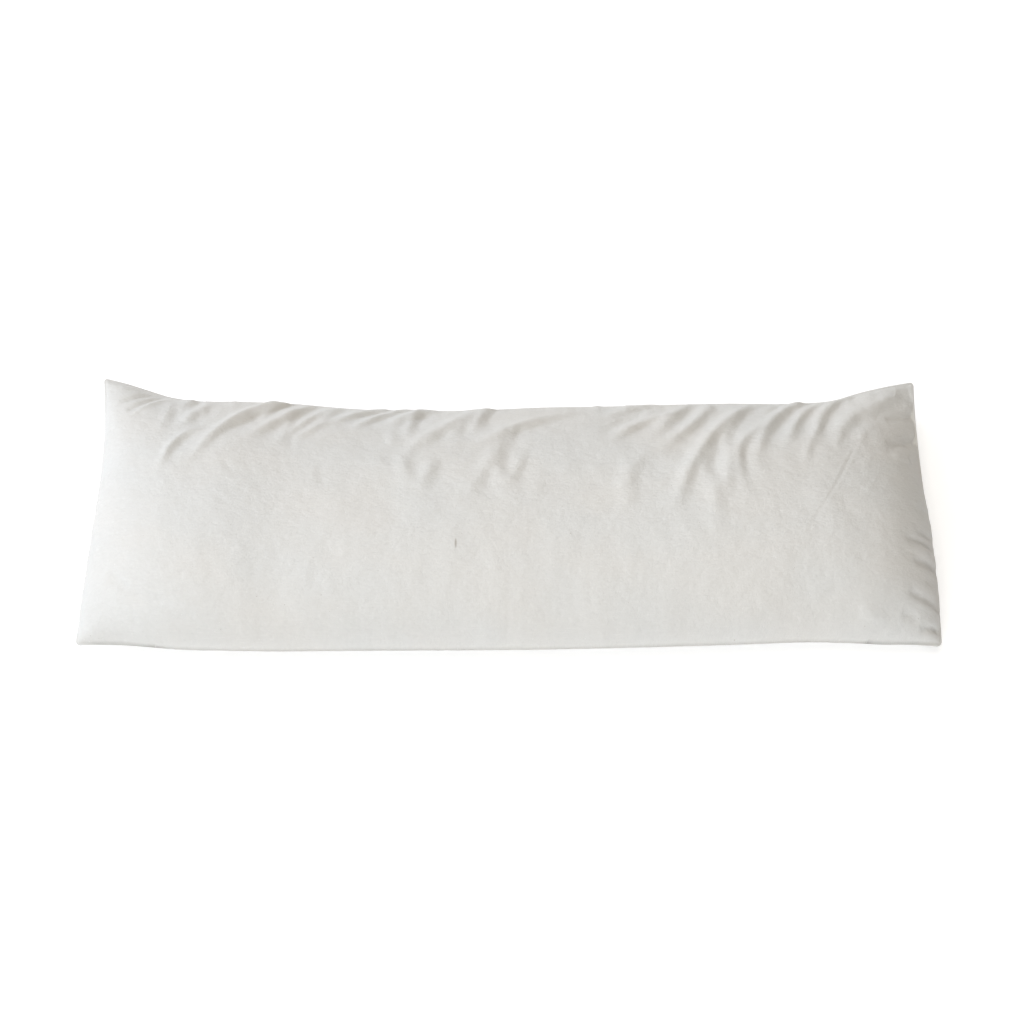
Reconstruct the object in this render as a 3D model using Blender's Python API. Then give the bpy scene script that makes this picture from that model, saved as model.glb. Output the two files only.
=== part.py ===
"""Body pillow: a long cushion of plain off-white cotton, filled and lying on its back.

X runs along the pillow, Y across it from the full near side to the slack far side, and Z up.
The origin is under the middle of the pillow's box, on the surface that it lies on. Two panels
of one size, a top and a bottom, meet in a knife-edge seam all the way round. The filling has
settled towards the near side, so that side bulges over its seam, and the far side is drawn in
between two limp corners, with folds that run from its seam into the top panel.
"""

import bmesh
import bpy
import numpy as np

# Sizes in metres. The panels are cut to about 1.37 x 0.50 m, and draw in as they are filled.
HALF_LENGTH = 0.668  # from the middle to the corners
FAR_SHORTER = 0.004  # how far the far corners are drawn in past the near ones
END_RISE = 0.012  # how far an end seam rises between its corners

# How far each end seam bows in from a straight line, a quarter of the way from its near corner
# and a quarter of the way from its far one.
NEAR_BOW = {"left": 0.009, "right": -0.003}
FAR_BOW = {"left": 0.013, "right": 0.001}

# One row for each section along the pillow: its place along X, the near and the far seam's
# places along Y, how far the near side bulges past its seam, the crown's height, and the
# heights of the two seams.
SECTION_COLUMNS = ("at", "near_seam", "far_seam", "bulge", "crown", "near_height", "far_height")
SECTIONS = (
    (-0.668, -0.226, 0.239, 0.000, 0.148, 0.020, 0.050),
    (-0.628, -0.227, 0.229, 0.003, 0.150, 0.024, 0.052),
    (-0.590, -0.229, 0.216, 0.006, 0.152, 0.027, 0.052),
    (-0.555, -0.232, 0.204, 0.010, 0.154, 0.030, 0.052),
    (-0.510, -0.235, 0.196, 0.014, 0.156, 0.032, 0.053),
    (-0.440, -0.236, 0.196, 0.017, 0.158, 0.034, 0.054),
    (-0.360, -0.237, 0.193, 0.018, 0.156, 0.034, 0.055),
    (-0.250, -0.236, 0.180, 0.019, 0.159, 0.035, 0.056),
    (-0.050, -0.235, 0.177, 0.019, 0.162, 0.035, 0.057),
    (0.150, -0.232, 0.184, 0.018, 0.159, 0.035, 0.057),
    (0.350, -0.226, 0.191, 0.017, 0.161, 0.034, 0.056),
    (0.470, -0.223, 0.194, 0.015, 0.158, 0.033, 0.055),
    (0.525, -0.225, 0.196, 0.013, 0.156, 0.031, 0.056),
    (0.575, -0.227, 0.211, 0.009, 0.154, 0.028, 0.058),
    (0.615, -0.227, 0.221, 0.005, 0.152, 0.025, 0.057),
    (0.668, -0.228, 0.229, 0.000, 0.148, 0.020, 0.054),
)
BULGE_RISE = 0.045  # the near side swings out over this share of the way to the middle
BULGE_END = 0.90  # and is back over its seam after this share

# How the filling's depth falls from the crown to a seam: late for a large "flat", and plumply
# for a small "round".
CROWN_AT = -0.22  # the crown's place across the panel: -1 at the near seam, 1 at the far one
ENDS = {"flat": 6.5, "round": 0.62}
NEAR_SIDE = {"flat": 2.3, "round": 0.52}
FAR_SIDE = {"flat": 2.1, "round": 0.78}
UNDER_ENDS = {"flat": 8.0, "round": 0.60}
UNDER_SIDES = {"flat": 3.2, "round": 0.60}
UNDER_BULGE = 0.5  # the underside follows this share of the near side's bulge
SINK = 0.016  # how far the filling would reach into the surface if that weren't there
CONTACT_EASE = 0.006  # the height over which the underside rounds into its flat contact

# Folds that the far seam draws into the top panel. Each has a ridge, with a trough along its
# right side. It starts at a place along X, some way in from the far seam, and runs towards the
# left end by its lean and towards the near side by its reach, straight for a curl of 1 and
# bending like a quarter of an oval for 2. The last columns are the ridge's width, its height
# and the trough's depth.
FOLD_COLUMNS = ("at", "inset", "lean", "reach", "curl", "width", "ridge", "trough")
FOLDS = (
    (-0.562, 0.004, 0.050, 0.050, 1.0, 0.012, 0.004, 0.003),
    (-0.470, 0.000, 0.095, 0.155, 1.0, 0.014, 0.008, 0.007),
    (-0.345, 0.000, 0.160, 0.150, 2.0, 0.017, 0.011, 0.010),
    (-0.305, 0.000, 0.100, 0.115, 1.4, 0.013, 0.007, 0.006),
    (-0.270, 0.000, 0.085, 0.085, 1.1, 0.012, 0.005, 0.005),
    (-0.200, 0.000, 0.080, 0.055, 1.0, 0.010, 0.004, 0.003),
    (-0.165, 0.000, 0.100, 0.070, 1.1, 0.010, 0.004, 0.003),
    (-0.145, 0.000, 0.035, 0.080, 1.0, 0.013, 0.004, 0.009),
    (-0.060, 0.010, 0.105, 0.105, 1.2, 0.017, 0.007, 0.006),
    (-0.055, 0.000, 0.015, 0.075, 1.0, 0.016, 0.002, 0.007),
    (0.085, 0.000, 0.155, 0.115, 1.3, 0.020, 0.008, 0.006),
    (-0.005, 0.105, 0.065, 0.070, 1.0, 0.020, 0.005, 0.004),
    (0.035, 0.050, 0.030, 0.110, 1.2, 0.014, 0.004, 0.002),
    (0.240, 0.000, 0.095, 0.105, 1.1, 0.015, 0.006, 0.005),
    (0.300, 0.000, 0.060, 0.080, 1.3, 0.012, 0.006, 0.006),
    (0.335, 0.000, 0.085, 0.120, 1.3, 0.013, 0.008, 0.007),
    (0.400, 0.000, 0.150, 0.210, 1.4, 0.018, 0.013, 0.012),
    (0.400, 0.075, 0.052, 0.110, 1.7, 0.013, 0.006, 0.007),
    (0.415, 0.045, 0.035, 0.095, 1.5, 0.012, 0.004, 0.005),
    (0.455, 0.000, 0.065, 0.075, 1.7, 0.012, 0.008, 0.007),
    (0.485, 0.000, 0.050, 0.080, 1.4, 0.011, 0.007, 0.006),
    (0.520, 0.000, 0.055, 0.115, 1.4, 0.013, 0.010, 0.008),
    (0.565, 0.000, 0.060, 0.115, 1.0, 0.015, 0.008, 0.007),
)
RIGHT_FLANK = 0.60  # a ridge's right flank is this much of its width
TROUGH_PLACE = 1.20  # the trough lies this many widths from the crest
TROUGH_WIDTH = 0.75  # and is this many widths wide
START_WIDTH = 0.75  # a fold begins at this share of its width and widens along its length
END_WIDTH = 1.30
SEAM_SHARE = 0.45  # the share of its height that a fold has at the seam
SEAM_EASE = 0.016  # and the distance from the seam over which it grows
THIN_SHARE = 0.2  # folds fade where the filling is thinner than this share of its depth
LINE_POINTS = 14  # points along a fold's crest
CLOSER_START = 1.5  # and how much closer they lie where it starts

# The grid of each panel, how much closer its lines lie at the seams, and how far they are
# moved towards the folded side.
LENGTHWAYS = 164
ACROSS = 28
CLOSER_ENDS = 0.10
CLOSER_SIDES = 0.28
MOVED_FAR = 0.14
SEAM_MERGE = 0.00002  # the panels' rims are joined within this distance

COTTON = {"colour": (0.79, 0.77, 0.72, 1.0), "roughness": 0.92, "metallic": 0.0}


def section(name, x):
    """One column of SECTIONS, read anywhere along the pillow from a smooth curve."""
    places = np.array([row[0] for row in SECTIONS])
    values = np.array([row[SECTION_COLUMNS.index(name)] for row in SECTIONS])
    slopes = np.gradient(values, places)
    i = np.clip(np.searchsorted(places, x) - 1, 0, len(places) - 2)
    gap = places[i + 1] - places[i]
    u = np.clip((x - places[i]) / gap, 0.0, 1.0)
    from_start = (2 * u**3 - 3 * u**2 + 1) * values[i] + (u**3 - 2 * u**2 + u) * gap * slopes[i]
    from_end = (3 * u**2 - 2 * u**3) * values[i + 1] + (u**3 - u**2) * gap * slopes[i + 1]
    return from_start + from_end


def fall(share, shape):
    """The filling's depth, from 1 at the crown (share 0) to 0 at a seam (share 1)."""
    return (1.0 - np.clip(share, 0.0, 1.0) ** shape["flat"]) ** shape["round"]


def across_crown(t):
    """The filling's depth across the pillow, whose crown lies nearer to the near side."""
    near = fall((CROWN_AT - t) / (1.0 + CROWN_AT), NEAR_SIDE)
    far = fall((t - CROWN_AT) / (1.0 - CROWN_AT), FAR_SIDE)
    return np.where(t < CROWN_AT, near, far)


def drawn_in(s, t):
    """How far a point is drawn in towards the middle, which fades away from the ends."""
    near = np.where(s < 0, NEAR_BOW["left"], NEAR_BOW["right"])
    far = np.where(s < 0, FAR_BOW["left"], FAR_BOW["right"])
    bow = (1.0 - t**2) * ((near + far) / 1.5 + (far - near) / 0.75 * t)
    return (bow + FAR_SHORTER * (t + 1.0) / 2.0) * s**8


def across(name, s, t):
    """A value of the near and the far seam, read between them in proportion to t."""
    near = section(f"near_{name}", s * HALF_LENGTH)
    far = section(f"far_{name}", s * HALF_LENGTH)
    return near + (far - near) * (t + 1.0) / 2.0


def plan(s, t):
    """The place on the plan of a panel's point: s runs from end to end, t from side to side."""
    return s * HALF_LENGTH - np.sign(s) * drawn_in(s, t), across("seam", s, t)


def seam_height(s, t):
    """The height of the surface midway between the panels, which at the rim is the seam's."""
    return across("height", s, t) + END_RISE * s**6 * (1.0 - t**2)


def overhang(s, t):
    """How far the near side stands out past a straight line across the pillow."""
    from_seam = t + 1.0
    rise = 1.0 - np.exp(-from_seam / BULGE_RISE)
    fade = np.clip(1.0 - from_seam / BULGE_END, 0.0, 1.0) ** 2
    return section("bulge", s * HALF_LENGTH) * rise * fade


def fold_line(at, inset, lean, reach, curl):
    """Points along the crest of one fold, from its start near the far seam."""
    inwards = np.linspace(0.0, 1.0, LINE_POINTS) ** CLOSER_START
    sideways = (1.0 - (1.0 - inwards) ** curl) ** (1.0 / curl)
    return at - lean * sideways, section("far_seam", np.array([at])) - inset - reach * inwards


def from_line(x, y, line_x, line_y):
    """Each point's distance from a line, below zero on its left, and how far along it lies."""
    nearest = np.full(x.shape, np.inf)
    signed = np.zeros(x.shape)
    along = np.zeros(x.shape)
    for i in range(len(line_x) - 1):
        step_x = line_x[i + 1] - line_x[i]
        step_y = line_y[i + 1] - line_y[i]
        off_x = x - line_x[i]
        off_y = y - line_y[i]
        share = (off_x * step_x + off_y * step_y) / (step_x**2 + step_y**2)
        share = np.clip(share, 0.0, 1.0)
        distance = np.hypot(off_x - share * step_x, off_y - share * step_y)
        closer = distance < nearest
        side = np.sign(step_x * off_y - step_y * off_x)
        nearest = np.where(closer, distance, nearest)
        signed = np.where(closer, side * distance, signed)
        along = np.where(closer, (i + share) / (len(line_x) - 1), along)
    return signed, along


def fold_height(fold, x, y):
    """How high one fold stands at each point of the plan."""
    width, ridge, trough = fold[5:]
    signed, along = from_line(x, y, *fold_line(*fold[:5]))
    width = width * (START_WIDTH + (END_WIDTH - START_WIDTH) * along)
    flank = np.where(signed > 0, width * RIGHT_FLANK, width)
    crest = ridge * np.exp(-((signed / flank) ** 2))
    valley = trough * np.exp(-(((signed / width - TROUGH_PLACE) / TROUGH_WIDTH) ** 2))
    return (crest - valley) * (1.0 - along**2)


def folds(x, y):
    """The height of all folds together, which is less close to the seam."""
    total = sum(fold_height(fold, x, y) for fold in FOLDS)
    from_seam = np.clip(section("far_seam", x) - y, 0.0, None)
    return total * (1.0 - (1.0 - SEAM_SHARE) * np.exp(-from_seam / SEAM_EASE))


def top_panel(s, t):
    """Points of the top panel."""
    x, y = plan(s, t)
    depth = across_crown(t) * fall(np.abs(s), ENDS)
    seam = seam_height(s, t)
    crown = section("crown", s * HALF_LENGTH)
    z = seam + (crown - seam) * depth + folds(x, y) * np.clip(depth / THIN_SHARE, 0.0, 1.0)
    return x, y - overhang(s, t), z


def bottom_panel(s, t):
    """Points of the bottom panel, flat where it lies on the surface."""
    x, y = plan(s, t)
    depth = fall(np.abs(t), UNDER_SIDES) * fall(np.abs(s), UNDER_ENDS)
    seam = seam_height(s, t)
    clear = np.clip(seam - (seam + SINK) * depth, 0.0, None)
    return x, y - UNDER_BULGE * overhang(s, t), clear**2 / (clear + CONTACT_EASE * depth)


def grid_lines(line, closer, moved=0.0):
    """Grid lines from -1 to 1, closer to each other at the rim, and moved to one side."""
    return line * (1.0 + closer * (1.0 - line**2)) + moved * (1.0 - line**2)


def panel(mesh, shape):
    """Adds one panel: a flat grid, whose points are then moved to the panel's shape."""
    made = bmesh.ops.create_grid(mesh, x_segments=LENGTHWAYS, y_segments=ACROSS, size=1.0)
    flat = np.round([point.co for point in made["verts"]], 6)
    s = grid_lines(flat[:, 0], CLOSER_ENDS)
    t = grid_lines(flat[:, 1], CLOSER_SIDES, MOVED_FAR)
    for point, place in zip(made["verts"], np.stack(shape(s, t), axis=1)):
        point.co = place
    return made["verts"], flat


def underside(mesh):
    """Adds the bottom panel, facing down, with every other line across it left out."""
    points, flat = panel(mesh, bottom_panel)
    bmesh.ops.reverse_faces(mesh, faces=list({face for p in points for face in p.link_faces}))
    column = np.round((flat[:, 0] + 1.0) / 2.0 * LENGTHWAYS).astype(int)
    odd = {point for point, number in zip(points, column) if number % 2}
    inner = [point for point in odd if not point.is_boundary]
    lines = {edge for point in odd for edge in point.link_edges if edge.other_vert(point) in odd}
    bmesh.ops.dissolve_edges(mesh, edges=list(lines), use_verts=False)
    bmesh.ops.dissolve_verts(mesh, verts=inner)


def cotton():
    """The cover's plain cotton."""
    material = bpy.data.materials.new("off_white_cotton")
    material.use_nodes = True
    shader = material.node_tree.nodes["Principled BSDF"]
    shader.inputs["Base Color"].default_value = COTTON["colour"]
    shader.inputs["Roughness"].default_value = COTTON["roughness"]
    shader.inputs["Metallic"].default_value = COTTON["metallic"]
    return material


def pillow():
    """The filled pillow: both panels, joined along the seam, over the origin."""
    mesh = bmesh.new()
    panel(mesh, top_panel)
    underside(mesh)
    bmesh.ops.remove_doubles(mesh, verts=mesh.verts, dist=SEAM_MERGE)
    points = np.array([point.co for point in mesh.verts])
    middle = (points.min(axis=0) + points.max(axis=0)) / 2
    bmesh.ops.translate(mesh, verts=mesh.verts, vec=(-middle[0], -middle[1], 0.0))
    data = bpy.data.meshes.new("pillow")
    mesh.to_mesh(data)
    mesh.free()
    data.shade_smooth()
    data.materials.append(cotton())
    made = bpy.data.objects.new("pillow", data)
    bpy.context.scene.collection.objects.link(made)


def main():
    for leftover in list(bpy.data.objects):
        bpy.data.objects.remove(leftover)
    pillow()


main()
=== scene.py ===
"""The looks of a body pillow, laid out as an add-on around the pillow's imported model.

X runs along the pillow, Y across it from the full near side to the slack far side, and Z up, in
metres. The cover is two cotton panels of one size, sewn together all the way round. Each panel
is a grid: s runs along it from -1 at the left end to 1 at the right one, and t across it from
-1 at the near seam to 1 at the far one. The panels are shaped over the filling, a cloth
simulation takes up their slack, and the creases and the seam's pinched edge come on top.
"""

from math import pi, radians

import bmesh
import bpy
import numpy as np
from bpy.props import FloatProperty, FloatVectorProperty, PointerProperty
from bpy.types import Operator, Panel, PropertyGroup
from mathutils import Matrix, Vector


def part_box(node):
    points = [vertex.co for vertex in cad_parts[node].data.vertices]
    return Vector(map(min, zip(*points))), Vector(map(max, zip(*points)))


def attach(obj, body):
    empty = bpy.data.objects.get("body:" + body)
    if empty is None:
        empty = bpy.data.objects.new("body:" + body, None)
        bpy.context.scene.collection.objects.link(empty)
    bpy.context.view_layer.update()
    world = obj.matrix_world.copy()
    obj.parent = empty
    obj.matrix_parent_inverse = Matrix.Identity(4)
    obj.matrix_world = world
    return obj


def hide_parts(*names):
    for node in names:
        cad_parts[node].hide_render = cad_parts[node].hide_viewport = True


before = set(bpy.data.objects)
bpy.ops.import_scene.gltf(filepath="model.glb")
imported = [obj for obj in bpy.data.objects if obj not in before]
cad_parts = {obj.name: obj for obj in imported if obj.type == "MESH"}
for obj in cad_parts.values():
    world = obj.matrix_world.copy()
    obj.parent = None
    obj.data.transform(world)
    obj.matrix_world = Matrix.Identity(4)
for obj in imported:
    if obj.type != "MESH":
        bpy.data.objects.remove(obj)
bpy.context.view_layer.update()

bl_info = {
    "name": "Body pillow",
    "version": (1, 0, 0),
    "blender": (4, 5, 0),
    "location": "3D View > Sidebar > Pillow",
    "description": "Dresses a body pillow in soft cotton, and sets up its studio",
    "category": "Object",
}

# The cut of each panel, and half the pillow's length and width once it is filled.
CUT_LENGTH = 1.372
CUT_WIDTH = 0.508
CUT_APART = 0.030  # between the two panels as they lie on the cloth that they are cut from
HALF_LENGTH = 0.6705
HALF_WIDTH = 0.231  # at the ends; in between, the table of sections has the seams' places
FAR_SHORTER = 0.0055  # how far the far corners are drawn in past the near ones
END_RISE = 0.012  # how far an end seam rises between its corners
CORNER = 0.009  # the radius of a corner's turned tip

# How far each end seam bows in, a quarter of the way from its near and its far corner.
NEAR_BOW = {"left": 0.010, "right": 0.0005}
FAR_BOW = {"left": 0.014, "right": 0.006}

# One row for each section along the pillow: its place along X, the near and the far seam's
# places along Y, how far the near side bulges past its seam, the crown's height, and the
# heights of the two seams.
SECTION_COLUMNS = ("at", "near_seam", "far_seam", "bulge", "crown", "near_height", "far_height")
SECTIONS = (
    (-0.668, -0.226, 0.239, 0.000, 0.148, 0.020, 0.050),
    (-0.628, -0.227, 0.227, 0.003, 0.150, 0.024, 0.052),
    (-0.590, -0.229, 0.214, 0.005, 0.152, 0.027, 0.052),
    (-0.555, -0.233, 0.202, 0.009, 0.154, 0.030, 0.052),
    (-0.510, -0.237, 0.194, 0.013, 0.156, 0.032, 0.053),
    (-0.440, -0.239, 0.192, 0.016, 0.158, 0.034, 0.054),
    (-0.360, -0.240, 0.188, 0.017, 0.156, 0.034, 0.055),
    (-0.250, -0.239, 0.177, 0.018, 0.159, 0.035, 0.056),
    (-0.050, -0.238, 0.174, 0.018, 0.162, 0.035, 0.057),
    (0.050, -0.237, 0.179, 0.018, 0.160, 0.035, 0.057),
    (0.150, -0.235, 0.181, 0.017, 0.159, 0.035, 0.057),
    (0.350, -0.229, 0.187, 0.016, 0.161, 0.034, 0.056),
    (0.470, -0.225, 0.188, 0.014, 0.158, 0.033, 0.055),
    (0.525, -0.226, 0.192, 0.012, 0.156, 0.031, 0.056),
    (0.575, -0.228, 0.207, 0.008, 0.154, 0.028, 0.057),
    (0.615, -0.227, 0.219, 0.004, 0.152, 0.025, 0.054),
    (0.668, -0.228, 0.234, 0.000, 0.148, 0.020, 0.046),
)
BULGE_RISE = 0.045  # the near side swings out over this share of the way to the middle
BULGE_END = 0.90  # and is back over its seam after this share

# How the filling's depth falls from the crown to a seam: late for a large "flat", and plumply
# for a small "round".
CROWN_AT = -0.22  # the crown's place across the panel
ENDS = {"flat": 9.5, "round": 0.60}
EAR_SLIM = 0.50  # what the right end's far part adds to "round", as its ear is less filled
EAR_FROM = -0.2  # it adds nothing up to this place across the panel
EAR_FULL = 0.6  # and all of it from here on
NEAR_SIDE = {"flat": 2.3, "round": 0.52}
FAR_SIDE = {"flat": 2.1, "round": 0.78}
UNDER_ENDS = {"flat": 8.0, "round": 0.60}
UNDER_SIDES = {"flat": 3.2, "round": 0.60}
UNDER_BULGE = 0.5  # the underside follows this share of the near side's bulge
SINK = 0.016  # how far the filling would reach into the surface if that weren't there
CONTACT_EASE = 0.006  # the height over which the underside rounds into its flat contact

# Folds of the panels, most of them drawn in by the far seam. Each has a crest along its left
# side, a steep flank and a trough along its right side. The flank's line is a curve that starts
# at one point of the plan, bends towards a second and ends at a third. After these three places
# come half the distance from crest to trough, the drop between them, and the share of the drop
# that the fold has at its start.
FOLDS = (
    # The left corner and the short folds beside it.
    (-0.537, 0.182, -0.534, 0.136, -0.553, 0.078, 0.0100, 0.0045, 0.1),
    (-0.507, 0.180, -0.512, 0.175, -0.527, 0.149, 0.0110, 0.0065, 0.9),
    (-0.479, 0.166, -0.502, 0.135, -0.514, 0.106, 0.0105, 0.0095, 0.2),
    (-0.482, 0.165, -0.482, 0.147, -0.482, 0.124, 0.0069, 0.0032, 0.1),
    (-0.479, 0.099, -0.529, 0.098, -0.539, 0.006, 0.0075, 0.0098, 0.0),
    # The long left fold and the ones that follow it.
    (-0.348, 0.185, -0.440, 0.156, -0.502, 0.008, 0.0084, 0.0116, 1.0),
    (-0.362, 0.172, -0.381, 0.161, -0.393, 0.126, 0.0079, 0.0100, 0.9),
    (-0.394, 0.150, -0.415, 0.128, -0.451, 0.100, 0.0084, 0.0098, 0.8),
    (-0.343, 0.121, -0.347, 0.085, -0.355, 0.061, 0.0108, 0.0036, 1.0),
    (-0.314, 0.169, -0.352, 0.133, -0.424, 0.062, 0.0100, 0.0122, 0.5),
    (-0.278, 0.163, -0.317, 0.136, -0.350, 0.075, 0.0073, 0.0077, 0.0),
    (-0.282, 0.123, -0.306, 0.106, -0.338, 0.070, 0.0079, 0.0066, 0.2),
    (-0.258, 0.169, -0.282, 0.153, -0.299, 0.116, 0.0090, 0.0073, 0.0),
    (-0.201, 0.158, -0.245, 0.151, -0.291, 0.107, 0.0071, 0.0094, 1.0),
    (-0.162, 0.160, -0.210, 0.142, -0.249, 0.097, 0.0070, 0.0092, 1.0),
    # The middle folds, which spread out like a fan.
    (-0.138, 0.148, -0.166, 0.140, -0.184, 0.101, 0.0120, 0.0110, 1.0),
    (-0.135, 0.167, -0.150, 0.137, -0.152, 0.076, 0.0095, 0.0088, 0.2),
    (-0.087, 0.114, -0.112, 0.087, -0.142, 0.049, 0.0118, 0.0084, 1.0),
    (-0.121, 0.089, -0.146, 0.067, -0.152, 0.035, 0.0088, 0.0038, 0.6),
    (-0.158, 0.051, -0.152, 0.011, -0.139, -0.025, 0.0130, 0.0054, 0.2),
    (-0.112, 0.036, -0.109, 0.006, -0.137, -0.042, 0.0130, 0.0073, 0.0),
    (-0.053, 0.154, -0.069, 0.113, -0.088, 0.065, 0.0128, 0.0088, 0.9),
    (-0.021, 0.175, -0.042, 0.142, -0.048, 0.079, 0.0130, 0.0128, 0.9),
    (0.090, 0.138, 0.002, 0.109, -0.058, 0.048, 0.0112, 0.0122, 0.3),
    (-0.019, 0.054, -0.022, 0.005, -0.068, -0.055, 0.0125, 0.0055, 0.4),
    (0.017, 0.118, 0.010, 0.094, 0.003, 0.051, 0.0072, 0.0036, 0.0),
    (-0.003, 0.075, -0.018, 0.022, 0.012, -0.032, 0.0128, 0.0059, 0.7),
    (0.030, 0.043, 0.018, 0.010, 0.004, -0.027, 0.0101, 0.0056, 0.1),
    # The right folds, the longest of them starting at the seam.
    (0.213, 0.162, 0.179, 0.149, 0.152, 0.130, 0.0105, 0.0075, 1.0),
    (0.220, 0.172, 0.232, 0.157, 0.235, 0.135, 0.0069, 0.0018, 0.4),
    (0.248, 0.131, 0.199, 0.113, 0.160, 0.066, 0.0086, 0.0098, 0.6),
    (0.220, 0.038, 0.178, 0.003, 0.200, -0.068, 0.0130, 0.0038, 0.7),
    (0.299, 0.171, 0.270, 0.134, 0.228, 0.081, 0.0118, 0.0130, 0.3),
    (0.325, 0.153, 0.293, 0.095, 0.226, 0.037, 0.0110, 0.0126, 0.4),
    (0.323, 0.170, 0.334, 0.147, 0.333, 0.120, 0.0060, 0.0014, 0.0),
    (0.411, 0.177, 0.300, 0.091, 0.254, -0.088, 0.0108, 0.0138, 0.1),
    (0.320, 0.044, 0.306, 0.021, 0.313, -0.023, 0.0118, 0.0054, 0.9),
    (0.323, 0.018, 0.326, -0.036, 0.330, -0.107, 0.0130, 0.0037, 0.0),
    (0.349, 0.057, 0.347, 0.002, 0.341, -0.045, 0.0115, 0.0058, 0.4),
    (0.383, 0.149, 0.350, 0.107, 0.339, 0.049, 0.0101, 0.0066, 0.2),
    (0.390, 0.090, 0.341, 0.050, 0.380, -0.045, 0.0103, 0.0070, 1.0),
    (0.443, 0.178, 0.426, 0.161, 0.404, 0.140, 0.0058, 0.0038, 0.9),
    (0.480, 0.179, 0.402, 0.122, 0.388, 0.007, 0.0104, 0.0110, 0.8),
    (0.503, 0.169, 0.460, 0.138, 0.440, 0.052, 0.0091, 0.0097, 0.5),
    (0.495, 0.107, 0.469, 0.066, 0.463, 0.006, 0.0074, 0.0026, 0.7),
    (0.555, 0.194, 0.492, 0.148, 0.488, 0.060, 0.0095, 0.0091, 1.0),
    (0.533, 0.103, 0.524, 0.082, 0.515, 0.055, 0.0064, 0.0026, 0.0),
    # The right corner's ear.
    (0.576, 0.148, 0.547, 0.131, 0.517, 0.075, 0.0125, 0.0115, 0.0),
    (0.573, 0.108, 0.560, 0.093, 0.557, 0.068, 0.0073, 0.0025, 0.4),
    (0.615, 0.177, 0.583, 0.149, 0.557, 0.133, 0.0130, 0.0065, 1.0),
)
CREST_SHARE = 0.64  # the share of the drop by which the crest stands out of the panel
INNER_WIDTH = 0.92  # crest and trough are this many widths wide towards each other
CREST_OUTER = 1.25  # the crest's left side is this many widths wide
TROUGH_OUTER = 1.9  # and the trough's right side this many
START_WIDTH = 0.71  # a fold begins at this share of its width and widens along its length
END_WIDTH = 0.92  # up to this share
SEAM_SHARE = 0.80  # the share of its height that a fold has at the seam
SEAM_EASE = 0.010  # and the distance from the seam over which it grows
THIN_SHARE = 0.10  # folds fade where the filling is thinner than this share of its depth
UNDER_SHARE = 0.55  # the share of their height that folds have on the underside
UNDER_REACH = 0.05  # and how far from the seam they reach there

# Creases of the top panel, narrower than the folds and the same on both sides. Each follows such
# a curve too. After its three places come its width, which is half of what the eye takes it for,
# and its height, which is below zero for a trough.
CREASES = (
    # The left corner's tuck, with a sharp edge on its near side.
    (-0.616, 0.154, -0.588, 0.176, -0.552, 0.200, 0.0050, -0.0045),
    (-0.608, 0.144, -0.580, 0.164, -0.549, 0.189, 0.0026, 0.0022),
    (-0.557, 0.199, -0.590, 0.203, -0.631, 0.173, 0.0060, -0.0050),
    (-0.632, 0.213, -0.600, 0.209, -0.572, 0.204, 0.0030, -0.0022),
    # Soft ridges and troughs between the folds.
    (-0.297, 0.026, -0.286, 0.005, -0.285, -0.019, 0.0082, -0.0014),
    (-0.187, 0.107, -0.182, 0.084, -0.184, 0.061, 0.0085, 0.0017),
    (0.220, 0.148, 0.181, 0.132, 0.142, 0.083, 0.0084, -0.0018),
    (-0.446, 0.041, -0.432, 0.016, -0.414, -0.009, 0.0052, -0.0006),
    # The long fine double crease on the right.
    (0.544, 0.082, 0.507, -0.010, 0.431, -0.121, 0.0021, 0.0006),
    (0.549, 0.082, 0.512, -0.010, 0.436, -0.121, 0.0019, -0.0006),
    (0.554, 0.082, 0.517, -0.010, 0.441, -0.121, 0.0021, 0.0004),
    # The dimples of the right corner's ear.
    (0.596, 0.081, 0.636, 0.100, 0.700, 0.150, 0.0078, -0.0046),
    (0.600, 0.137, 0.634, 0.150, 0.680, 0.182, 0.0070, -0.0036),
    (0.643, 0.068, 0.623, 0.062, 0.599, 0.069, 0.0088, 0.0030),
    # The right end's puckers, which reach past the seam to stay deep beside it.
    (0.628, -0.070, 0.648, -0.070, 0.680, -0.064, 0.0035, -0.0035),
    (0.606, -0.088, 0.632, -0.089, 0.676, -0.080, 0.0040, -0.0045),
    (0.602, -0.103, 0.624, -0.104, 0.656, -0.099, 0.0050, 0.0018),
    (0.618, -0.121, 0.645, -0.118, 0.690, -0.110, 0.0048, -0.0055),
    (0.608, -0.168, 0.632, -0.174, 0.690, -0.180, 0.0048, -0.0055),
    (0.598, -0.200, 0.612, -0.201, 0.630, -0.203, 0.0060, -0.0026),
    (0.628, -0.214, 0.652, -0.210, 0.690, -0.202, 0.0045, -0.0060),
    (0.530, -0.199, 0.554, -0.206, 0.580, -0.213, 0.0087, 0.0023),
    # The left end, near side.
    (-0.614, -0.138, -0.583, -0.184, -0.496, -0.202, 0.0056, -0.0040),
    (-0.606, -0.128, -0.573, -0.172, -0.500, -0.198, 0.0043, 0.0007),
)
LINE_POINTS = 12  # points along the curve of a fold or crease

# The pinched edge of the seam, and the small puckers that its stitches draw into both panels.
LIP_EDGE = 0.0008  # the distance over which the seam's edge reaches its full thickness
STITCHED = 0.45  # the share of that thickness which the line of stitches takes away
STITCH_WIDTH = 0.0011  # and how wide that groove is to each side
STITCH_LENGTH = 0.0035  # from one stitch to the next
PUCKER_SPACING = 0.012
PUCKER_REACH = 0.012  # the distance from the seam at which a pucker is highest
PUCKER_HEIGHT = {"near": 0.00015, "far": 0.0006, "ends": 0.0009}
SEED = 54  # of the puckers and the filling's lumps

# Soft unevenness of the filling, as the size of its lumps in grid cells and their height.
LUMPS = ((32, 0.0006), (16, 0.0003), (8, 0.00025), (4, 0.0001))

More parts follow.
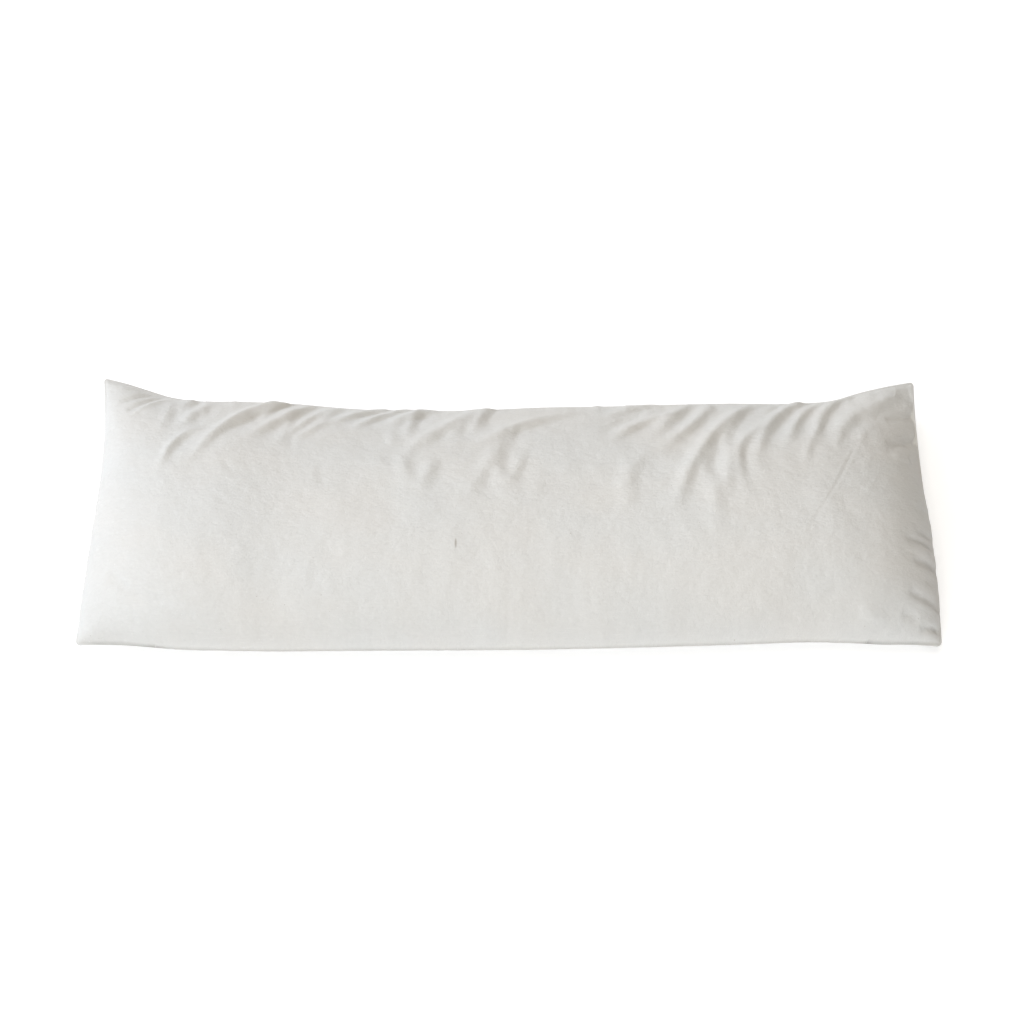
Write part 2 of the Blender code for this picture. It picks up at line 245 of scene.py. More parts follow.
# The grid of each panel, how much closer its lines lie at the seams, and how far they are moved
# towards the folded side. The simulation's grid has every second line of it.
LENGTHWAYS = 512
ACROSS = 128
SIMULATED = 2
CLOSER_ENDS = 0.075
CLOSER_SIDES = 0.110
CLOSER_POWER = 8
MOVED_FAR = 0.20
SEAM_MERGE = 0.00002  # the panels' rims are joined within this distance

# The simulation: its length, the cloth, and where it is held and slack.
FRAMES = 16
STEPS = 6  # of the solver in each frame
CLOTH = {
    "mass": 0.002,
    "air_damping": 1.0,
    "tension_stiffness": 10.0,
    "compression_stiffness": 2.0,
    "shear_stiffness": 2.0,
    "bending_stiffness": 0.005,
    "tension_damping": 0.5,
    "compression_damping": 0.5,
    "shear_damping": 0.5,
    "bending_damping": 0.05,
    "pin_stiffness": 1.0,
}
HELD_CROWN = 0.62  # how firmly the filling holds the cloth at the crown, from 0 to 1
HELD_SLACK = 0.42  # and where the cloth is slack
SLACK_REACH = 0.30  # the share of the panel's half width over which its slack fades
NEAR_SLACK = 0.5  # the near seam's slack, as a share of the far seam's and the ends'
MOST_MOVED = 0.008  # a cap on how far a point moves

# The heights of the parts of the cotton's relief, and what its tints multiply its colour by.
RELIEF = {"weave": 0.00005, "slubs": 0.0001, "mottle": 0.00024, "crumple": 0.0024, "neps": 0.00015}
TINTS = {
    "light": (1.14, 1.14, 1.14),
    "dark": (0.84, 0.84, 0.83),
    "warm": (1.006, 0.998, 0.988),
    "cool": (0.994, 1.0, 1.002),
}

# The small dark fleck in the cloth of the top panel: its place, its size along X and Y, and two
# heights, between which it comes in, as the bottom panel has none.
FLECK = {"x": -0.080, "y": -0.117, "wide": 0.0019, "long": 0.0085, "heights": (0.08, 0.09)}

# The studio: each light's place, size and tint, the point that they shine on, and the camera.
LIGHTS = {
    "key": ((-5.6, 2.2, 3.4), (3.2, 3.2), (0.76, 0.84, 1.0)),
    "front": ((-0.5, -3.6, 2.4), (3.4, 2.0), (0.90, 0.94, 1.0)),
    "top": ((0.0, 0.6, 4.0), (3.0, 3.0), (1.0, 0.93, 0.84)),
}
LIT_POINT = (0.0, 0.0, 0.08)
FLOOR_SIZE = 14.0
CAMERA = {"lens": 69.3, "elevation": 62.5, "distance": 3.13, "aim": (0.005, -0.003, 0.043)}
SENSOR_WIDTH = 36.0


class PillowSettings(PropertyGroup):
    """What a user would change on the pillow."""

    slack: FloatProperty(
        name="Slack",
        description="How much larger the cloth is beside its seams than the form that it covers",
        default=0.06,
        min=0.0,
        max=0.3,
        subtype="FACTOR",
    )
    pressure: FloatProperty(
        name="Pressure",
        description="Pressure of the filling against the cover in the simulation",
        default=340.0,
        min=0.0,
    )
    fold_depth: FloatProperty(
        name="Fold depth",
        description="Depth of the folds, as a share of the depth in their table",
        default=1.0,
        min=0.0,
        max=2.0,
        subtype="FACTOR",
    )
    crease_depth: FloatProperty(
        name="Crease depth",
        description="Depth of the creases, as a share of the depth in their table",
        default=1.0,
        min=0.0,
        max=2.0,
        subtype="FACTOR",
    )
    lip_width: FloatProperty(
        name="Seam edge width",
        description="How far the seam's pinched edge stands out",
        default=0.0036,
        min=0.0,
        unit="LENGTH",
    )
    lip_thickness: FloatProperty(
        name="Seam edge thickness",
        description="Thickness of the seam's pinched edge",
        default=0.0018,
        min=0.0,
        unit="LENGTH",
    )
    cotton: FloatVectorProperty(
        name="Cotton",
        description="Colour of the unbleached cotton",
        default=(0.645, 0.637, 0.614, 1.0),
        size=4,
        min=0.0,
        max=1.0,
        subtype="COLOR",
    )
    # Its colour also paints the shade along the seam's line of stitches.
    husk_and_seam_shade: FloatVectorProperty(
        name="Seed husk",
        description="Colour of the specks of husk in the cotton",
        default=(0.20, 0.15, 0.10, 1.0),
        size=4,
        min=0.0,
        max=1.0,
        subtype="COLOR",
    )
    thread: FloatProperty(
        name="Thread spacing",
        description="Distance from one thread of the weave to the next",
        default=0.00045,
        min=0.0001,
        unit="LENGTH",
    )


class StudioSettings(PropertyGroup):
    """What a user would change in the studio."""

    floor: FloatVectorProperty(
        name="Floor",
        description="Colour of the floor",
        default=(0.8, 0.8, 0.8, 1.0),
        size=4,
        min=0.0,
        max=1.0,
        subtype="COLOR",
    )
    floor_glow: FloatProperty(
        name="Floor glow",
        description="Light that comes through the floor, as through a white acrylic one",
        default=0.38,
        min=0.0,
    )
    key_power: FloatProperty(
        name="Key light",
        description="Power of the broad cool light on the left, behind the pillow",
        default=235.0,
        min=0.0,
        unit="POWER",
    )
    front_power: FloatProperty(
        name="Front light",
        description="Power of the broad light in front of the pillow",
        default=80.0,
        min=0.0,
        unit="POWER",
    )
    top_power: FloatProperty(
        name="Top light",
        description="Power of the broad warm light above the pillow",
        default=60.0,
        min=0.0,
        unit="POWER",
    )
    left_side: FloatVectorProperty(
        name="Left surroundings",
        description="Colour and brightness of the surroundings on the left",
        default=(0.85, 0.85, 0.82, 1.0),
        size=4,
        min=0.0,
        soft_max=2.0,
        subtype="COLOR",
    )
    right_side: FloatVectorProperty(
        name="Right surroundings",
        description="Colour and brightness of the surroundings on the right",
        default=(0.050, 0.032, 0.018, 1.0),
        size=4,
        min=0.0,
        soft_max=2.0,
        subtype="COLOR",
    )


def section(name, x):
    """One column of SECTIONS, read anywhere along the pillow from a smooth curve."""
    places = np.array([row[0] for row in SECTIONS])
    values = np.array([row[SECTION_COLUMNS.index(name)] for row in SECTIONS])
    slopes = np.gradient(values, places)
    i = np.clip(np.searchsorted(places, x) - 1, 0, len(places) - 2)
    gap = places[i + 1] - places[i]
    u = np.clip((x - places[i]) / gap, 0.0, 1.0)
    from_start = (2 * u**3 - 3 * u**2 + 1) * values[i] + (u**3 - 2 * u**2 + u) * gap * slopes[i]
    from_end = (3 * u**2 - 2 * u**3) * values[i + 1] + (u**3 - u**2) * gap * slopes[i + 1]
    return from_start + from_end


def fall(share, shape):
    """The filling's depth, from 1 at the crown (share 0) to 0 at a seam (share 1)."""
    return (1.0 - np.clip(share, 0.0, 1.0) ** shape["flat"]) ** shape["round"]


def along_crown(s, t):
    """The filling's depth along the pillow, which is less in the right end's far part."""
    far = np.clip((t - EAR_FROM) / (EAR_FULL - EAR_FROM), 0.0, 1.0)
    slim = EAR_SLIM * far**2 * (3.0 - 2.0 * far) * (s > 0)
    return fall(np.abs(s), {"flat": ENDS["flat"], "round": ENDS["round"] + slim})


def across_crown(t):
    """The filling's depth across the pillow, whose crown lies nearer to the near side."""
    near = fall((CROWN_AT - t) / (1.0 + CROWN_AT), NEAR_SIDE)
    far = fall((t - CROWN_AT) / (1.0 - CROWN_AT), FAR_SIDE)
    return np.where(t < CROWN_AT, near, far)


def drawn_in(s, t):
    """How far a point is drawn in towards the middle, which fades away from the ends.

    At an end the bow is the near one where t is -1/2, and the far one where t is 1/2.
    """
    near = np.where(s < 0, NEAR_BOW["left"], NEAR_BOW["right"])
    far = np.where(s < 0, FAR_BOW["left"], FAR_BOW["right"])
    bow = (1.0 - t**2) * ((near + far) / 1.5 + (far - near) / 0.75 * t)
    return (bow + FAR_SHORTER * (t + 1.0) / 2.0) * s**8


def turned_tip(s, t):
    """How far a point is drawn in along the pillow and across it by a corner's round tip."""
    u = np.clip(1.0 - (1.0 - np.abs(s)) * HALF_LENGTH / CORNER, 0.0, 1.0)
    v = np.clip(1.0 - (1.0 - np.abs(t)) * HALF_WIDTH / CORNER, 0.0, 1.0)
    along = CORNER * u * (1.0 - np.sqrt(1.0 - v**2 / 2))
    return along, CORNER * v * (1.0 - np.sqrt(1.0 - u**2 / 2))


def across(name, s, t):
    """A value of the near and the far seam, read between them in proportion to t."""
    near = section(f"near_{name}", s * HALF_LENGTH)
    far = section(f"far_{name}", s * HALF_LENGTH)
    return near + (far - near) * (t + 1.0) / 2.0


def plan(s, t):
    """The place of a panel's point on the plan."""
    tip_x, tip_y = turned_tip(s, t)
    x = s * HALF_LENGTH - np.sign(s) * (drawn_in(s, t) + tip_x)
    return x, across("seam", s, t) - np.sign(t) * tip_y


def seam_height(s, t):
    """The height of the surface midway between the panels, which at the rim is the seam's."""
    return across("height", s, t) + END_RISE * s**6 * (1.0 - t**2)


def overhang(s, t):
    """How far the near side stands out past a straight line across the pillow."""
    from_seam = t + 1.0
    rise = 1.0 - np.exp(-from_seam / BULGE_RISE)
    fade = np.clip(1.0 - from_seam / BULGE_END, 0.0, 1.0) ** 2
    return section("bulge", s * HALF_LENGTH) * rise * fade


def from_curve(x, y, curve):
    """Each point's distance from a curve, below zero on one side, and how far along it lies.

    A point that lies before the curve's start or past its end is read against the curve's
    straight continuation, and lies at less than 0 or more than 1 along it. The third result is
    the curve's length.
    """
    share = np.linspace(0.0, 1.0, LINE_POINTS)
    weights = np.stack([(1 - share) ** 2, 2 * share * (1 - share), share**2])
    line = np.array(curve).reshape(3, 2).T @ weights
    steps = np.diff(line)
    lengths = np.hypot(*steps)
    last = len(lengths) - 1
    nearest = np.full(x.shape, np.inf)
    signed = np.zeros(x.shape)
    along = np.zeros(x.shape)
    for i in range(last + 1):
        off_x = x - line[0, i]
        off_y = y - line[1, i]
        open_share = (off_x * steps[0, i] + off_y * steps[1, i]) / lengths[i] ** 2
        held_share = np.clip(open_share, 0.0, 1.0)
        distance = np.hypot(off_x - held_share * steps[0, i], off_y - held_share * steps[1, i])
        square = (steps[0, i] * off_y - steps[1, i] * off_x) / lengths[i]
        beyond = (open_share < 0) & (i == 0) | (open_share > 1) & (i == last)
        closer = distance < nearest
        nearest = np.where(closer, distance, nearest)
        signed = np.where(closer, np.where(beyond, square, np.sign(square) * distance), signed)
        along = np.where(closer, (i + np.where(beyond, open_share, held_share)) / (last + 1), along)
    return signed, along, lengths.sum()


def fold_height(fold, x, y):
    """How high one fold stands at each point of the plan."""
    width, drop, start = fold[6:]
    signed, along, length = from_curve(x, y, fold[:6])
    within = np.clip(along, 0.0, 1.0)
    u = signed / (width * (START_WIDTH + (END_WIDTH - START_WIDTH) * within))
    crest = np.exp(-(((u + 1.0) / np.where(u < -1.0, CREST_OUTER, INNER_WIDTH)) ** 2))
    trough = np.exp(-(((u - 1.0) / np.where(u > 1.0, TROUGH_OUTER, INNER_WIDTH)) ** 2))
    fade = (1.0 - within**4) ** 2 * (1.0 - (1.0 - start) * (1.0 - within) ** 3)
    before = np.exp(-((np.clip(-along, 0.0, None) * length / (2.0 * width)) ** 2))
    return drop * (CREST_SHARE * crest - (1.0 - CREST_SHARE) * trough) * fade * before


def folds(x, y):
    """The height of all folds together, which is less close to the seam."""
    total = sum(fold_height(fold, x, y) for fold in FOLDS)
    from_seam = np.clip(section("far_seam", x) - y, 0.0, None)
    return total * (1.0 - (1.0 - SEAM_SHARE) * np.exp(-from_seam / SEAM_EASE))


def creases(x, y):
    """The height of all creases together."""
    total = np.zeros(x.shape)
    for crease in CREASES:
        width, height = crease[6:]
        signed, along, _ = from_curve(x, y, crease[:6])
        fade = (1.0 - (2.0 * np.clip(along, 0.0, 1.0) - 1.0) ** 4) ** 2
        total += height * np.exp(-((signed / width) ** 2)) * fade
    return total


def within_lip(s, t, lip):
    """The panel's places with its rim widened, so that the filling ends short of the seam."""
    filled_s = np.clip(s * (1.0 + lip / HALF_LENGTH), -1, 1)
    return filled_s, np.clip(t * (1.0 + lip / HALF_WIDTH), -1, 1)


def from_rim(s, t):
    """The distance of a panel's point from the seam."""
    return np.minimum((1.0 - np.abs(s)) * HALF_LENGTH, (1.0 - np.abs(t)) * HALF_WIDTH)


def top_panel(s, t, lip, fold_depth):
    """Points of the top panel over the filling, as an array of X, Y and Z."""
    x, y = plan(s, t)
    filled_s, filled_t = within_lip(s, t, lip)
    depth = across_crown(filled_t) * along_crown(filled_s, t)
    seam = seam_height(s, t)
    crown = section("crown", s * HALF_LENGTH)
    fold = folds(x, y) * np.clip(depth / THIN_SHARE, 0.0, 1.0) * fold_depth
    return np.stack([x, y - overhang(s, t), seam + (crown - seam) * depth + fold], axis=-1)


def bottom_panel(s, t, lip, fold_depth):
    """Points of the bottom panel, flat where it lies on the floor."""
    x, y = plan(s, t)
    filled_s, filled_t = within_lip(s, t, lip)
    depth = fall(np.abs(filled_t), UNDER_SIDES) * fall(np.abs(filled_s), UNDER_ENDS)
    seam = seam_height(s, t)
    clear = np.clip(seam - (seam + SINK) * depth, 0.0, None)
    z = clear**2 / (clear + CONTACT_EASE * depth)
    from_seam = (1.0 - t) * HALF_WIDTH
    fade = UNDER_SHARE * np.exp(-from_seam / UNDER_REACH) * np.clip(depth / THIN_SHARE, 0.0, 1.0)
    z = np.maximum(z - folds(x, y) * fade * fold_depth, 0.0)
    return np.stack([x, y - UNDER_BULGE * overhang(s, t), z], axis=-1)


def grid_lines(line, closer, moved=0.0):
    """Grid lines from -1 to 1, closer to each other at the rim, and moved to one side."""
    return line * (1.0 + closer * (1.0 - line**CLOSER_POWER)) + moved * (1.0 - line**2) ** 2


def panel_grid(every=1):
    """The places s and t of a panel's points, or of every second one."""
    s = grid_lines(np.linspace(-1.0, 1.0, LENGTHWAYS + 1), CLOSER_ENDS)
    t = grid_lines(np.linspace(-1.0, 1.0, ACROSS + 1), CLOSER_SIDES, MOVED_FAR)
    return np.meshgrid(s[::every], t[::every])


def doubled(values):
    """A grid of values with a line put in between each two, on a smooth curve."""
    ends = [2 * values[:1] - values[1:2], values, 2 * values[-1:] - values[-2:-1]]
    beyond = np.concatenate(ends)
    between = (9 * (beyond[1:-2] + beyond[2:-1]) - beyond[:-3] - beyond[3:]) / 16
    finer = np.empty((2 * len(values) - 1, *values.shape[1:]))
    finer[::2] = values
    finer[1::2] = between
    return finer


def finer_grid(values):
    """A grid of values with twice as many lines both ways."""
    return doubled(doubled(values).swapaxes(0, 1)).swapaxes(0, 1)


def lumps(random):
    """The filling's unevenness at each point of a panel."""
    total = 0.0
    for cell, height in LUMPS:
        values = random.normal(0.0, height, (ACROSS // cell + 1, LENGTHWAYS // cell + 1))
        while values.shape[0] <= ACROSS:
            values = finer_grid(values)
        total = total + values
    return total


def outwards(points):
    """The unit normals of a panel's points, upwards on a flat panel."""
    along = np.gradient(points, axis=1)
    over = np.gradient(points, axis=0)
    normals = np.cross(along, over)
    return normals / np.maximum(np.linalg.norm(normals, axis=-1, keepdims=True), 1e-12)


def puckers(s, t, random):
    """The height of the puckers that the stitches draw into the cloth along the seam."""
    side_stitches = random.normal(0.0, 1.0, round(2 * HALF_LENGTH / PUCKER_SPACING) + 1)
    end_stitches = random.normal(0.0, 1.0, round(2 * HALF_WIDTH / PUCKER_SPACING) + 1)
    sides = np.interp(s, np.linspace(-1, 1, len(side_stitches)), side_stitches)
    ends = np.interp(t, np.linspace(-1, 1, len(end_stitches)), end_stitches)
    sides *= np.where(t < 0, PUCKER_HEIGHT["near"], PUCKER_HEIGHT["far"])
    from_side = (1.0 - np.abs(t)) * HALF_WIDTH / PUCKER_REACH
    from_end = (1.0 - np.abs(s)) * HALF_LENGTH / PUCKER_REACH
    side_part = sides * from_side * np.exp(1.0 - from_side)
    return side_part + PUCKER_HEIGHT["ends"] * ends * from_end * np.exp(1.0 - from_end)


def linked(name, data):
    """A new object of a mesh, light or camera, in the scene."""
    made = bpy.data.objects.new(name, data)
    bpy.context.scene.collection.objects.link(made)
    return made


def two_panels(name, top, bottom, joined):
    """A mesh of both panels' grids, the bottom one facing down, joined at their rims or not."""
    mesh = bmesh.new()
    mesh.loops.layers.uv.new("cut")
    rows, columns = top.shape[0] - 1, top.shape[1] - 1
    for points, down in ((top, False), (bottom, True)):
        made = bmesh.ops.create_grid(
            mesh, x_segments=columns, y_segments=rows, size=1.0, calc_uvs=True
        )
        for vert in made["verts"]:
            column = round((vert.co.x + 1.0) / 2.0 * columns)
            row = round((vert.co.y + 1.0) / 2.0 * rows)
            vert.co = points[row, column]
        if down:
            faces = {face for vert in made["verts"] for face in vert.link_faces}
            bmesh.ops.reverse_faces(mesh, faces=list(faces))
    if joined:
        bmesh.ops.remove_doubles(mesh, verts=mesh.verts, dist=SEAM_MERGE)
    data = bpy.data.meshes.new(name)
    mesh.to_mesh(data)
    mesh.free()
    data.shade_smooth()
    return data


def lay_out_cut(data):
    """Gives the mesh's UV map the real sizes of the cut panels, one above the other."""
    layer = data.uv_layers["cut"].uv
    places = np.empty(len(layer) * 2)
    layer.foreach_get("vector", places)
    places = places.reshape(-1, 2) * 2.0 - 1.0
    s = grid_lines(places[:, 0], CLOSER_ENDS)
    t = grid_lines(places[:, 1], CLOSER_SIDES, MOVED_FAR)
    second = np.arange(len(layer)) >= len(layer) // 2
    u = (s + 1.0) / 2.0 * CUT_LENGTH
    v = (t + 1.0) / 2.0 * CUT_WIDTH + second * (CUT_WIDTH + CUT_APART)
    layer.foreach_set("vector", np.stack([u, v], axis=1).ravel())


def taken_up(top, bottom, s, t, settings):
    """How far the filling's pressure and the cloth's slack move the points of both panels."""
    trial = linked("cloth_trial", two_panels("cloth_trial", top, bottom, joined=False))
    far_seam = np.clip((t - 1.0) / SLACK_REACH + 1.0, 0.0, 1.0)
    near_seam = np.clip((-1.0 - t) / SLACK_REACH + 1.0, 0.0, 1.0) * NEAR_SLACK
    ends = np.clip((np.abs(s) - 1.0) / SLACK_REACH * HALF_LENGTH / HALF_WIDTH + 1.0, 0.0, 1.0)
    slack = np.max([far_seam, near_seam, ends], axis=0)
    held = HELD_CROWN + (HELD_SLACK - HELD_CROWN) * slack
    at_rim = np.isclose(from_rim(s, t), 0.0)
    held_top = np.where(at_rim, 1.0, held)
    held_bottom = np.where(at_rim | (bottom[..., 2] < CONTACT_EASE), 1.0, held)
    weights = {"held": np.concatenate([held_top.ravel(), held_bottom.ravel()])}
    weights["slack"] = np.concatenate([slack.ravel(), slack.ravel()])
    for name, values in weights.items():
        group = trial.vertex_groups.new(name=name)
        for index, value in enumerate(values):
            group.add([index], float(value), "REPLACE")
    cloth = trial.modifiers.new("cloth", "CLOTH")
    for name, value in CLOTH.items():
        setattr(cloth.settings, name, value)
    cloth.settings.quality = STEPS
    cloth.settings.vertex_group_mass = "held"
    cloth.settings.vertex_group_shrink = "slack"
    cloth.settings.shrink_min = 0.0
    cloth.settings.shrink_max = -settings.slack
    cloth.settings.use_pressure = True
    cloth.settings.uniform_pressure_force = settings.pressure
    cloth.settings.effector_weights.gravity = 0.0
    cloth.collision_settings.use_collision = False
    cloth.point_cache.frame_start = 1
    cloth.point_cache.frame_end = FRAMES
    before = points_of(trial.data)
    for number in range(1, FRAMES + 1):
        bpy.context.scene.frame_set(number)
    evaluated = trial.evaluated_get(bpy.context.evaluated_depsgraph_get())
    moved = points_of(evaluated.data) - before
    bpy.data.objects.remove(trial)
    bpy.context.scene.frame_set(1)
    far = np.linalg.norm(moved, axis=1, keepdims=True)
    moved *= MOST_MOVED / np.maximum(far, MOST_MOVED)
    return moved.reshape(2, *top.shape)


def points_of(data):
    """The places of a mesh's vertices."""
    places = np.empty(len(data.vertices) * 3)
    data.vertices.foreach_get("co", places)
    return places.reshape(-1, 3)


class Wire:
    """A shader socket in an expression, where each operator adds the node that works it out."""

    def __init__(self, tree, socket=None):
        self.tree = tree
        self.socket = socket

    def node(self, kind, settings=None, inputs=None, output=0):
        """Adds a node with its settings made and its sockets set or linked."""
        made = self.tree.nodes.new(kind)
        for name, value in (settings or {}).items():
            setattr(made, name, value)
        for name, value in (inputs or {}).items():
            if isinstance(value, Wire):
                self.tree.links.new(value.socket, made.inputs[name])
            else:
                made.inputs[name].default_value = value
        return Wire(self.tree, made.outputs[output])

    def math(self, operation, *values):
        """Adds a Math node that works on the values."""
        return self.node("ShaderNodeMath", {"operation": operation}, dict(enumerate(values)))

    def __add__(self, other):
        return self.math("ADD", self, other)

    def __sub__(self, other):
        return self.math("SUBTRACT", self, other)

    def __rsub__(self, other):
        return self.math("SUBTRACT", other, self)

    def __mul__(self, other):
        return self.math("MULTIPLY", self, other)

    def __truediv__(self, other):
        return self.math("DIVIDE", self, other)

    def __mod__(self, other):
        return self.math("MODULO", self, other)

    def __abs__(self):
        return self.math("ABSOLUTE", self)

    __radd__ = __add__
    __rmul__ = __mul__

    def sine(self):
        """The sine of this value."""
        return self.math("SINE", self)

    def least(self, other):
        """The smaller of two values."""
        return self.math("MINIMUM", self, other)

    def ramp(self, start, end):
        """Rises smoothly from 0 where this value is at start to 1 where it is at end."""
        steps = {"Value": self, "From Min": start, "From Max": end}
        return self.node("ShaderNodeMapRange", {"interpolation_type": "SMOOTHSTEP"}, steps)

    def mix(self, first, second):
        """Mixes two colours by this value, which a Mix node takes at its sockets 6 and 7."""
        inputs = {"Factor": self, 6: first, 7: second}
        return self.node("ShaderNodeMix", {"data_type": "RGBA"}, inputs, output=2)


def new_material(name):
    """A new material, its Principled shader, and an empty wire to start from."""
    material = bpy.data.materials.new(name)
    material.use_nodes = True
    shader = material.node_tree.nodes["Principled BSDF"]
    return material, shader, Wire(material.node_tree)


def noise(start, place, scale, detail=2.0, roughness=0.5):
    """Noise with cells of a size along each axis, given as cells to the metre."""
    stretched = start.node("ShaderNodeMapping", inputs={"Vector": place, "Scale": scale})
    inputs = {"Vector": stretched, "Scale": 1.0, "Detail": detail, "Roughness": roughness}
    return start.node("ShaderNodeTexNoise", inputs=inputs)


def specks(start, place, scale, radius, kept):
    """Small specks, one in each cell at most, where kept is the share of cells with one."""
    stretched = start.node("ShaderNodeMapping", inputs={"Vector": place, "Scale": scale})
    inputs = {"Vector": stretched, "Scale": 1.0}
    distance = start.node("ShaderNodeTexVoronoi", inputs=inputs, output="Distance")
    colour = start.node("ShaderNodeTexVoronoi", inputs=inputs, output="Color")
    chance = start.node("ShaderNodeSeparateColor", inputs={"Color": colour})
    return distance.ramp(radius, radius * 0.4) * chance.ramp(1.0 - kept, 1.001 - kept)


def tinted(colour, by):
    """A colour with each of its parts multiplied."""
    return (*(colour[i] * by[i] for i in range(3)), 1.0)


def stitches_and_seam_shade(u, v, lip_width):
    """The line of stitches round each panel where the seam's edge begins, darkened: painted shade
    of the groove there, broken up by the stitches.
    """
    from_end = u.least(CUT_LENGTH - u)
    on_panel = v % (CUT_WIDTH + CUT_APART)
    from_side = on_panel.least(CUT_WIDTH - on_panel)
    off_line = abs(from_end.least(from_side) - lip_width)
    stitches = ((u + v) * (2.0 * pi / STITCH_LENGTH)).sine()
    return off_line.ramp(STITCH_WIDTH * 1.8, STITCH_WIDTH * 0.4) * (0.75 + stitches * 0.25)


def fleck_spot(start):
    """The spot that the small dark fleck covers."""
    place = start.node("ShaderNodeTexCoord", output="Object")
    x, y, z = (
        start.node("ShaderNodeSeparateXYZ", inputs={"Vector": place}, output=axis) for axis in "XYZ"
    )
    off_x = (x - FLECK["x"]) / FLECK["wide"]
    off_y = (y - FLECK["y"]) / FLECK["long"]
    return (off_x * off_x + off_y * off_y).ramp(1.2, 0.1) * z.ramp(*FLECK["heights"])


def cotton_finish(settings):
    """Unbleached cotton: plain weave, slubs, light neps, dark specks of husk, soft creasing, and a
    painted shade along the seam's line of stitches.
    """
    material, shader, start = new_material("off_white_cotton_cloth")
    cut = start.node("ShaderNodeUVMap", {"uv_map": "cut"})
    u = start.node("ShaderNodeSeparateXYZ", inputs={"Vector": cut}, output="X")
    v = start.node("ShaderNodeSeparateXYZ", inputs={"Vector": cut}, output="Y")
    warp = (u * (pi / settings.thread)).sine()
    weft = (v * (pi / settings.thread)).sine()
    over = (warp * weft).ramp(-0.35, 0.35)
    weave = abs(warp) * over + abs(weft) * (1.0 - over)
    long_slubs = noise(start, cut, (24.0, 900.0, 1.0)).ramp(0.56, 0.80)
    cross_slubs = noise(start, cut, (900.0, 30.0, 1.0)).ramp(0.60, 0.82)
    slubs = long_slubs + cross_slubs * 0.6
    mottle = noise(start, cut, (150.0, 230.0, 1.0), detail=4.0, roughness=0.72)
    clouds = noise(start, cut, (5.0, 7.0, 1.0), detail=2.0)
    crumple = noise(start, cut, (38.0, 46.0, 1.0), detail=4.0, roughness=0.58)
    husk = specks(start, cut, (70.0, 110.0, 1.0), 0.055, 0.25)
    neps = specks(start, cut, (120.0, 160.0, 1.0), 0.14, 0.30)

    tint = {name: tinted(settings.cotton[:3], by) for name, by in TINTS.items()}
    colour = clouds.ramp(0.35, 0.65).mix(tint["cool"], tint["warm"])
    colour = (mottle.ramp(0.50, 0.85) * 0.5).mix(colour, tint["light"])
    colour = (mottle.ramp(0.50, 0.15) * 0.5).mix(colour, tint["dark"])
    colour = (slubs * 0.4).mix(colour, tint["light"])
    colour = (neps * 0.8).mix(colour, tint["light"])
    for part, share in (
        (husk, 0.75),
        (fleck_spot(start), 0.45),
        # Painted shade of the seam's groove, broken up by the stitches, in the husk's colour.
        (stitches_and_seam_shade(u, v, settings.lip_width), 0.10),
    ):
        colour = (part * share).mix(colour, tuple(settings.husk_and_seam_shade))

    height = weave * RELIEF["weave"] + slubs * RELIEF["slubs"] + mottle * RELIEF["mottle"]
    height = height + crumple * RELIEF["crumple"] + neps * RELIEF["neps"]
    bump = start.node("ShaderNodeBump", inputs={"Height": height, "Distance": 1.0, "Strength": 1.0})
    links = material.node_tree.links
    links.new(colour.socket, shader.inputs["Base Color"])
    links.new(bump.socket, shader.inputs["Normal"])
    links.new((0.88 + mottle * 0.08).socket, shader.inputs["Roughness"])
    shader.inputs["Specular IOR Level"].default_value = 0.25
    shader.inputs["Sheen Weight"].default_value = 0.12
    shader.inputs["Sheen Roughness"].default_value = 0.5
    return material


def floor_finish(settings):
    """A plain white floor that glows a little."""
    material, shader, _ = new_material("white_floor")
    shader.inputs["Base Color"].default_value = tuple(settings.floor)
    shader.inputs["Roughness"].default_value = 0.9
    shader.inputs["Specular IOR Level"].default_value = 0.0
    shader.inputs["Emission Color"].default_value = (1.0, 1.0, 1.0, 1.0)
    shader.inputs["Emission Strength"].default_value = settings.floor_glow
    return material


def to_model(top, bottom):
    """The shift along X and Y that puts the panels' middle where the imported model's is."""
    least = np.min([top, bottom], axis=(0, 1, 2))
    most = np.max([top, bottom], axis=(0, 1, 2))
    low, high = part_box("pillow")
    shift = (np.array(low) + np.array(high)) / 2 - (least + most) / 2
    shift[2] = 0.0
    return shift


def simulated(top, bottom, settings):
    """How far the simulation moves the points of both panels, worked out on a coarser grid."""
    every = SIMULATED
    panels = top[::every, ::every], bottom[::every, ::every]
    coarse = taken_up(*panels, *panel_grid(every), settings)
    return np.stack([finer_grid(give) for give in coarse])


def seam_edge(rim, settings):
    """Half the thickness of the seam's edge, at each distance from the rim."""
    groove = STITCHED * np.exp(-(((rim - settings.lip_width) / STITCH_WIDTH) ** 2))
    return settings.lip_thickness / 2 * (1.0 - np.exp(-rim / LIP_EDGE)) * (1.0 - groove)


def finished_panels(settings):
    """Points of both panels with the cloth's give, its creases and puckers and the seam's edge."""
    random = np.random.default_rng(SEED)
    s, t = panel_grid()
    top = top_panel(s, t, settings.lip_width, settings.fold_depth)
    bottom = bottom_panel(s, t, settings.lip_width, settings.fold_depth)
    shift = to_model(top, bottom)
    give = simulated(top, bottom, settings)
    rim = from_rim(s, t)
    inside = np.clip(rim / settings.lip_width - 1.0, 0.0, 1.0)
    uneven = (lumps(random) + puckers(s, t, random)) * inside
    crease = creases(top[..., 0], top[..., 1]) * settings.crease_depth * inside
    raised = np.clip(bottom[..., 2] / CONTACT_EASE - 1.0, 0.0, 1.0) * inside
    drawn = puckers(s, t, random) * raised
    top = top + give[0] + outwards(top) * (uneven + crease)[..., None]
    bottom = bottom + give[1] - outwards(bottom) * drawn[..., None]
    edge = seam_edge(rim, settings)
    top[..., 2] += edge
    bottom[..., 2] = np.maximum(bottom[..., 2] - edge, 0.0)
    return top + shift, bottom + shift


